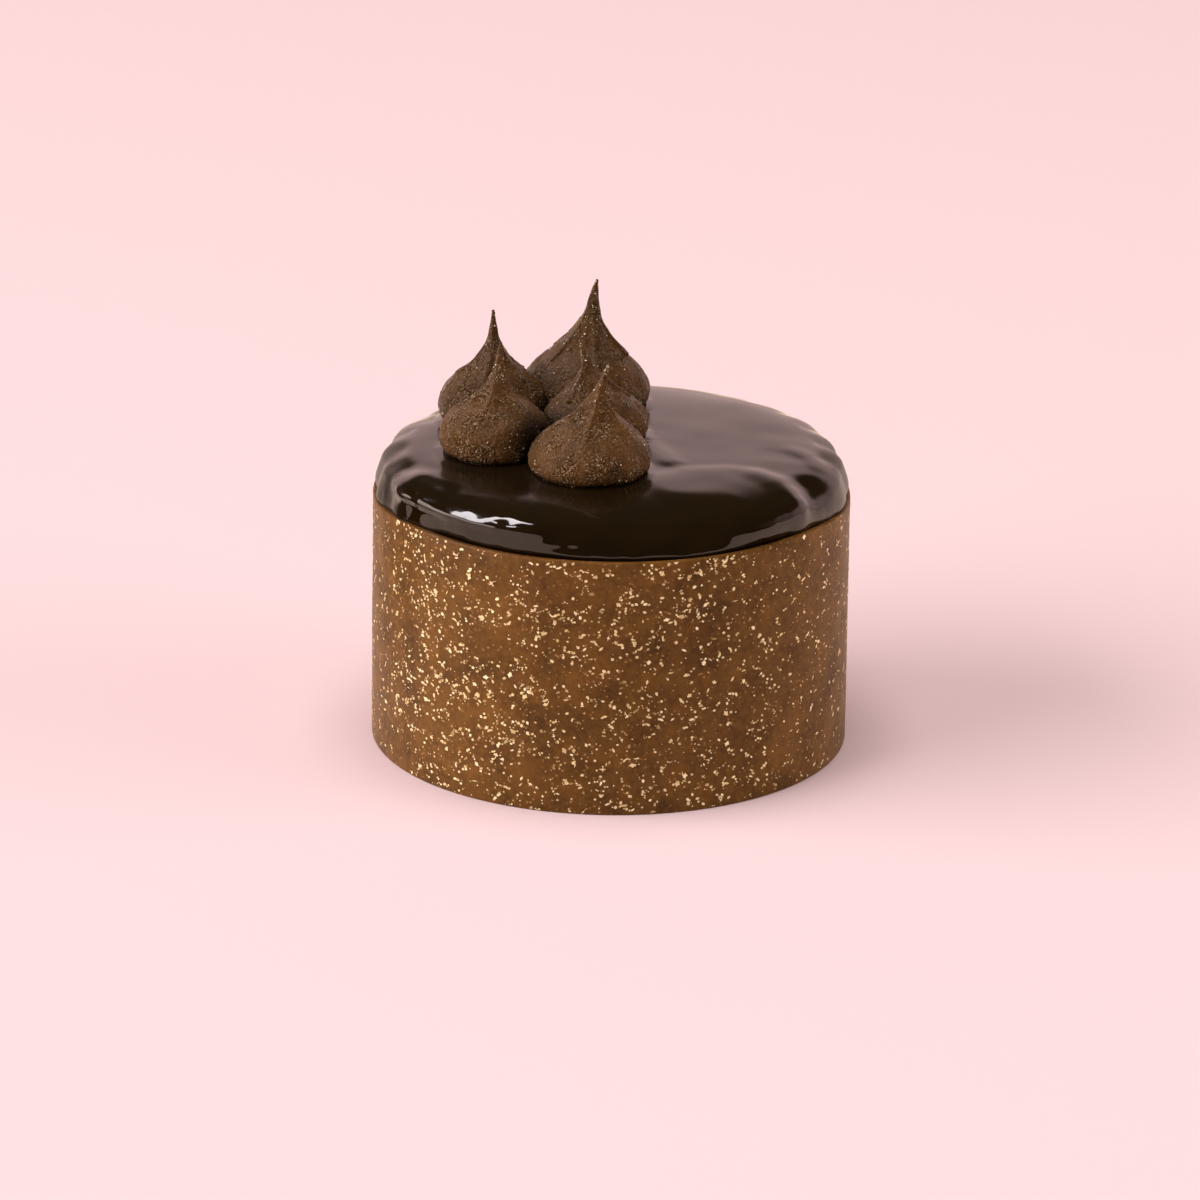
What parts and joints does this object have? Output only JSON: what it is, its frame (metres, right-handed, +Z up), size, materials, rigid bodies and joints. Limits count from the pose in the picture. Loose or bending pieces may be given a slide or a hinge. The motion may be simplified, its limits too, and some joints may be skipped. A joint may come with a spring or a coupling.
{
  "type": "chocolate cake",
  "caption": "Small round chocolate cake with a glossy domed glaze, pointed piped drops gathered on one side and a thin chocolate collar covered with gold flecks.",
  "frame": {"origin": "centre of the flat base, on the surface the cake stands on", "axes": "+Z up; -Y towards the front, where the piped drops stand left of the middle; +X to the right, where the glaze is bare"},
  "size_m": [0.0824, 0.0824, 0.0752],
  "materials": {
    "collar": "satin brown chocolate with soft lighter and darker clouds",
    "glaze": "mirror-glossy, almost black chocolate glaze",
    "cake": "matt, fine-pored dark cake",
    "drop": "matt brown piped chocolate cream with a fine grainy skin and gold dust",
    "gold": "pale gold flecks, soft sheen"
  },
  "bodies": {
    "root": {"collar": "collar", "cake": "glaze", "drop_back_left": "drop", "drop_front_left": "drop", "drop_back": "drop", "drop_middle": "drop", "drop_front_right": "drop"}
  },
  "joints": []
}
